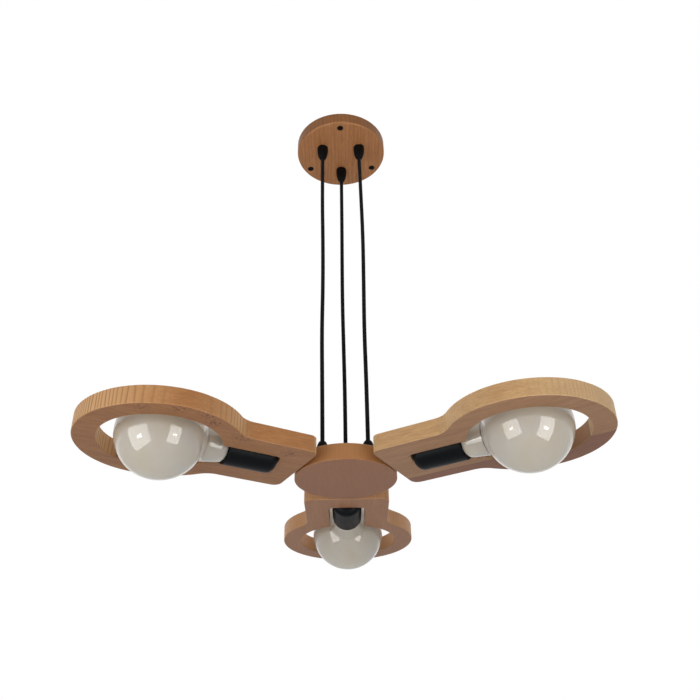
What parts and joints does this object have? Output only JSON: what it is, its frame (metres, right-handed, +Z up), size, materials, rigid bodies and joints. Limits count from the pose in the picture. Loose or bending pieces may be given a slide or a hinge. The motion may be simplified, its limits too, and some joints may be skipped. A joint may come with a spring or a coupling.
{
  "type": "pendant light",
  "caption": "Wood pendant light: flat arms with ring ends hold globe bulbs round a disc hub hung on black cords from a round canopy.",
  "frame": {"origin": "centre of the ceiling screw circle, on the ceiling plane at the canopy's open top", "axes": "+Z up towards the ceiling; the rear arm points to +Y, the left and right arms to azimuth 210 and 330 degrees"},
  "size_m": [0.566, 0.5141, 0.5795],
  "materials": {
    "beech": "oiled beech with fine grain",
    "black_plastic": "satin black moulded plastic",
    "black_cord": "braided black textile cord",
    "milky_glass": "glossy milky glass",
    "live_lead": "brown insulation",
    "neutral_lead": "blue insulation",
    "terminal_white": "white moulded block",
    "zinc_steel": "zinc-plated steel",
    "black_steel": "black powder coat",
    "brass": "plain brass",
    "cap_metal": "bright aluminium",
    "black_insulator": "black vitrite",
    "led_white": "white ceramic carrier"
  },
  "bodies": {
    "canopy": {"canopy_plate": "beech", "canopy_grip_left": "black_plastic", "canopy_grip_right": "black_plastic", "canopy_grip_rear": "black_plastic", "canopy_grip_nuts": "zinc_steel", "canopy_grip_screws": "black_plastic", "canopy_cord_ends": "black_cord", "canopy_leads_live": "live_lead", "canopy_leads_neutral": "neutral_lead", "terminal_block": "terminal_white", "terminal_screws": "brass"},
    "cord_left": {"cord_left": "black_cord"},
    "cord_right": {"cord_right": "black_cord"},
    "cord_rear": {"cord_rear": "black_cord"},
    "lamp": {"hub_body": "beech", "hub_lid_plate": "black_steel", "hub_lid_screws": "zinc_steel", "hub_grip_left": "black_plastic", "hub_grip_right": "black_plastic", "hub_grip_rear": "black_plastic", "hub_grip_nuts": "zinc_steel", "hub_grip_screws": "black_plastic", "hub_cord_ends": "black_cord", "hub_leads_live": "live_lead", "hub_leads_neutral": "neutral_lead", "arm_tubes": "zinc_steel", "arm_tube_nuts": "zinc_steel", "arm_spacers": "black_plastic", "arm_left": "beech", "holder_cap_left": "black_plastic", "holder_skirt_left": "black_plastic", "holder_insert_left": "black_plastic", "screw_shell_left": "brass", "arm_right": "beech", "holder_cap_right": "black_plastic", "holder_skirt_right": "black_plastic", "holder_insert_right": "black_plastic", "screw_shell_right": "brass", "arm_rear": "beech", "holder_cap_rear": "black_plastic", "holder_skirt_rear": "black_plastic", "holder_insert_rear": "black_plastic", "screw_shell_rear": "brass", "holder_contacts": "brass", "holder_terminal_screws": "brass"},
    "bulb_left_tip": {"bulb_tip_left": "brass"},
    "bulb_left": {"bulb_glass_left": "milky_glass", "bulb_cap_left": "cap_metal", "bulb_insulator_left": "black_insulator", "bulb_led_left": "led_white"},
    "bulb_right_tip": {"bulb_tip_right": "brass"},
    "bulb_right": {"bulb_glass_right": "milky_glass", "bulb_cap_right": "cap_metal", "bulb_insulator_right": "black_insulator", "bulb_led_right": "led_white"},
    "bulb_rear_tip": {"bulb_tip_rear": "brass"},
    "bulb_rear": {"bulb_glass_rear": "milky_glass", "bulb_cap_rear": "cap_metal", "bulb_insulator_rear": "black_insulator", "bulb_led_rear": "led_white"}
  },
  "joints": [
    {"name": "rear_cord_sway", "type": "hinge", "parent": "canopy", "child": "cord_rear", "pos_m": [0, 0.031, -0.0434], "axis": [1, 0, 0], "range_deg": [-12, 12]},
    {"name": "lamp_sway", "type": "hinge", "parent": "cord_rear", "child": "lamp", "pos_m": [0, 0.031, -0.4956], "axis": [1, 0, 0], "range_deg": [-12, 12]},
    {"name": "left_cord_sway", "type": "hinge", "parent": "canopy", "child": "cord_left", "pos_m": [-0.02685, -0.0155, -0.0434], "axis": [1, 0, 0], "range_deg": [-12, 12]},
    {"name": "right_cord_sway", "type": "hinge", "parent": "canopy", "child": "cord_right", "pos_m": [0.02685, -0.0155, -0.0434], "axis": [1, 0, 0], "range_deg": [-12, 12]},
    {"name": "bulb_left_travel", "type": "slide", "parent": "lamp", "child": "bulb_left_tip", "axis": [-0.866, -0.5, 0], "range_m": [0, 0.0146]},
    {"name": "bulb_left_turn", "type": "hinge", "parent": "bulb_left_tip", "child": "bulb_left", "pos_m": [-0.19347, -0.1117, -0.531], "axis": [-0.866, -0.5, 0], "range_deg": [0, 1440]},
    {"name": "bulb_right_travel", "type": "slide", "parent": "lamp", "child": "bulb_right_tip", "axis": [0.866, -0.5, 0], "range_m": [0, 0.0146]},
    {"name": "bulb_right_turn", "type": "hinge", "parent": "bulb_right_tip", "child": "bulb_right", "pos_m": [0.19347, -0.1117, -0.531], "axis": [0.866, -0.5, 0], "range_deg": [0, 1440]},
    {"name": "bulb_rear_travel", "type": "slide", "parent": "lamp", "child": "bulb_rear_tip", "axis": [0, 1, 0], "range_m": [0, 0.0146]},
    {"name": "bulb_rear_turn", "type": "hinge", "parent": "bulb_rear_tip", "child": "bulb_rear", "pos_m": [0, 0.2234, -0.531], "axis": [0, 1, 0], "range_deg": [0, 1440]}
  ],
  "couplings": [
    {"joint": "lamp_sway", "follows": "rear_cord_sway", "ratio": -1},
    {"joint": "left_cord_sway", "follows": "rear_cord_sway", "ratio": 1},
    {"joint": "right_cord_sway", "follows": "rear_cord_sway", "ratio": 1},
    {"joint": "bulb_left_travel", "follows": "bulb_left_turn", "m_per_rad": 0.00057614},
    {"joint": "bulb_right_travel", "follows": "bulb_right_turn", "m_per_rad": 0.00057614},
    {"joint": "bulb_rear_travel", "follows": "bulb_rear_turn", "m_per_rad": 0.00057614}
  ]
}
